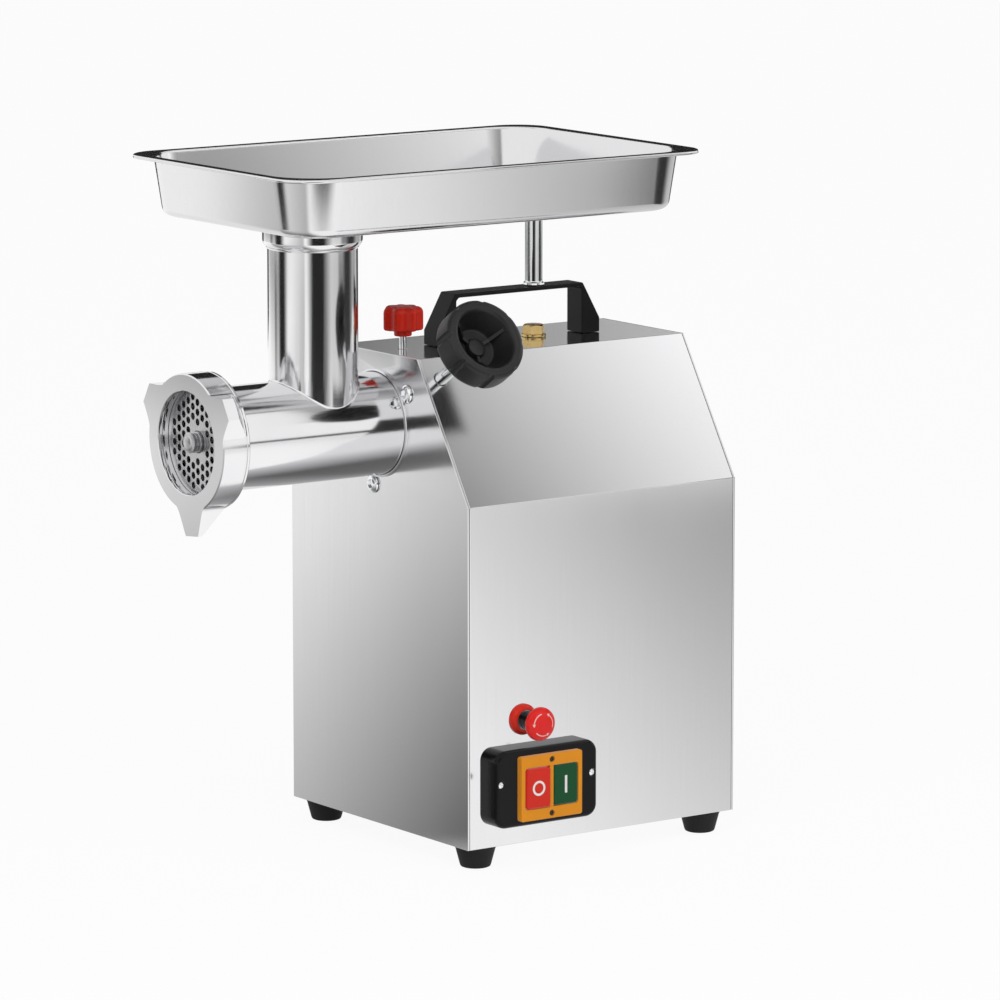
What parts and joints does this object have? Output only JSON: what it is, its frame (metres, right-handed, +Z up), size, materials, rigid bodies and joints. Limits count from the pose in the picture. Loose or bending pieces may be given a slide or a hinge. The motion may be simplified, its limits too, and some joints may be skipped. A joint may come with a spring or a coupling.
{
  "type": "electric meat grinder",
  "caption": "Slant-sided stainless meat grinder on rubber feet: pull-out head with hole plate and ring nut, loose feed tray, clamp knob, lock pin, carrying handle and push-button switches.",
  "frame": {"origin": "on the floor, under the middle of the bounding box", "axes": "+Z up, -Y towards the outlet of the grinding head, +X towards the side with the switches"},
  "size_m": [0.2554, 0.412, 0.501],
  "materials": {
    "stainless": "bright rolled stainless sheet and polished stainless casting",
    "chrome": "bright plating",
    "steel": "machined steel",
    "cast_alloy": "as-cast aluminium alloy",
    "brass": "turned brass",
    "copper": "enamelled copper winding; brass stands in for copper",
    "bronze": "bronze gear wheel; brass stands in for bronze",
    "black_plastic": "satin black moulding",
    "rubber": "black rubber",
    "red_plastic": "red moulding",
    "green_plastic": "green moulding",
    "orange_plastic": "orange moulding",
    "painted_steel": "dark paint",
    "cream_plastic": "moulded contact block"
  },
  "bodies": {
    "machine": {"base_plate": "steel", "bearing_counter_front": "steel", "bearing_counter_rear": "steel", "bearing_motor_front": "steel", "bearing_motor_rear": "steel", "bearing_output_front": "steel", "bearing_output_rear": "steel", "bezel_screw_1": "chrome", "bezel_screw_2": "chrome", "box_screw_1": "chrome", "box_screw_2": "chrome", "cable_gland": "black_plastic", "capacitor": "cast_alloy", "casing_wrap": "stainless", "estop_block": "cream_plastic", "estop_collar": "red_plastic", "flange_bolt_1": "chrome", "flange_bolt_2": "chrome", "flange_bolt_3": "chrome", "foot_front_left": "rubber", "foot_front_right": "rubber", "foot_rear_left": "rubber", "foot_rear_right": "rubber", "front_panel": "stainless", "gear_cover": "cast_alloy", "gear_housing": "cast_alloy", "handle": "black_plastic", "motor_cradle": "steel", "motor_housing": "painted_steel", "motor_rear_bell": "cast_alloy", "oil_plug": "brass", "rear_panel": "stainless", "stator_core": "steel", "switch_bezel": "orange_plastic", "switch_block": "cream_plastic", "switch_box": "black_plastic", "tray_post": "chrome", "winding_front": "copper", "winding_rear": "copper"},
    "head": {"grinder_barrel": "stainless", "hole_plate": "steel"},
    "ring": {"ring_nut": "stainless"},
    "feed_screw": {"auger": "steel", "knife": "steel"},
    "loose_tray": {"tray": "stainless"},
    "output": {"output_shaft": "steel", "output_gear": "steel"},
    "counter": {"counter_shaft": "steel", "counter_wheel": "bronze"},
    "rotor": {"motor_shaft": "steel", "rotor_core": "steel", "cooling_fan": "black_plastic"},
    "clamp_screw": {"clamp_stem": "chrome"},
    "clamp_hand": {"clamp_knob": "black_plastic"},
    "lock_pin": {"lock_stem": "chrome"},
    "lock_hand": {"lock_knob": "red_plastic"},
    "estop_plunger": {"estop_neck": "black_plastic"},
    "estop_cap": {"estop_head": "red_plastic"},
    "stop": {"stop_button": "red_plastic"},
    "start": {"start_button": "green_plastic"}
  },
  "joints": [
    {"name": "rotor_spin", "type": "hinge", "parent": "machine", "child": "rotor", "pos_m": [-0.0125, 0.074, 0.22542], "axis": [0, 1, 0], "continuous": true},
    {"name": "counter_spin", "type": "hinge", "parent": "machine", "child": "counter", "pos_m": [0.0175, 0.034, 0.2685], "axis": [0, 1, 0], "continuous": true},
    {"name": "output_spin", "type": "hinge", "parent": "machine", "child": "output", "pos_m": [-0.0125, 0.014, 0.3085], "axis": [0, 1, 0], "continuous": true},
    {"name": "auger_spin", "type": "hinge", "parent": "head", "child": "feed_screw", "pos_m": [-0.0125, -0.106, 0.3085], "axis": [0, 1, 0], "continuous": true},
    {"name": "head_slide", "type": "slide", "parent": "machine", "child": "head", "axis": [0, -1, 0], "range_m": [0, 0.06]},
    {"name": "ring_turn", "type": "hinge", "parent": "head", "child": "ring", "pos_m": [-0.0125, -0.195, 0.3085], "axis": [0, 1, 0], "continuous": true},
    {"name": "tray_lift", "type": "slide", "parent": "head", "child": "loose_tray", "axis": [0, 0, 1], "range_m": [0, 0.08]},
    {"name": "clamp_travel", "type": "slide", "parent": "machine", "child": "clamp_screw", "axis": [0.8451, 0, 0.5346], "range_m": [0, 0.00601]},
    {"name": "clamp_turn", "type": "hinge", "parent": "clamp_screw", "child": "clamp_hand", "pos_m": [0.08891, -0.03, 0.37266], "axis": [0.8451, 0, 0.5346], "range_deg": [0, 1440]},
    {"name": "lock_travel", "type": "slide", "parent": "machine", "child": "lock_pin", "axis": [0, 0, 1], "range_m": [-0.00501, 0.00201]},
    {"name": "lock_turn", "type": "hinge", "parent": "lock_pin", "child": "lock_hand", "pos_m": [-0.0125, -0.022, 0.38], "axis": [0, 0, 1], "range_deg": [-1800, 720]},
    {"name": "estop_press", "type": "slide", "parent": "machine", "child": "estop_plunger", "axis": [-1, 0, 0], "range_m": [0, 0.004], "stiffness_N_per_m": 800},
    {"name": "estop_twist", "type": "hinge", "parent": "estop_plunger", "child": "estop_cap", "pos_m": [0.1235, 0.002, 0.1063], "axis": [1, 0, 0], "range_deg": [0, 40], "stiffness_Nm_per_rad": 0.02},
    {"name": "stop_press", "type": "slide", "parent": "machine", "child": "stop", "axis": [-1, 0, 0], "range_m": [0, 0.003], "stiffness_N_per_m": 400},
    {"name": "start_press", "type": "slide", "parent": "machine", "child": "start", "axis": [-1, 0, 0], "range_m": [0, 0.003], "stiffness_N_per_m": 400}
  ],
  "couplings": [
    {"joint": "counter_spin", "follows": "rotor_spin", "ratio": -0.2963},
    {"joint": "output_spin", "follows": "rotor_spin", "ratio": 0.13943},
    {"joint": "auger_spin", "follows": "rotor_spin", "ratio": 0.13943},
    {"joint": "clamp_travel", "follows": "clamp_turn", "m_per_rad": 0.00023873},
    {"joint": "lock_travel", "follows": "lock_turn", "m_per_rad": 0.00015915}
  ]
}
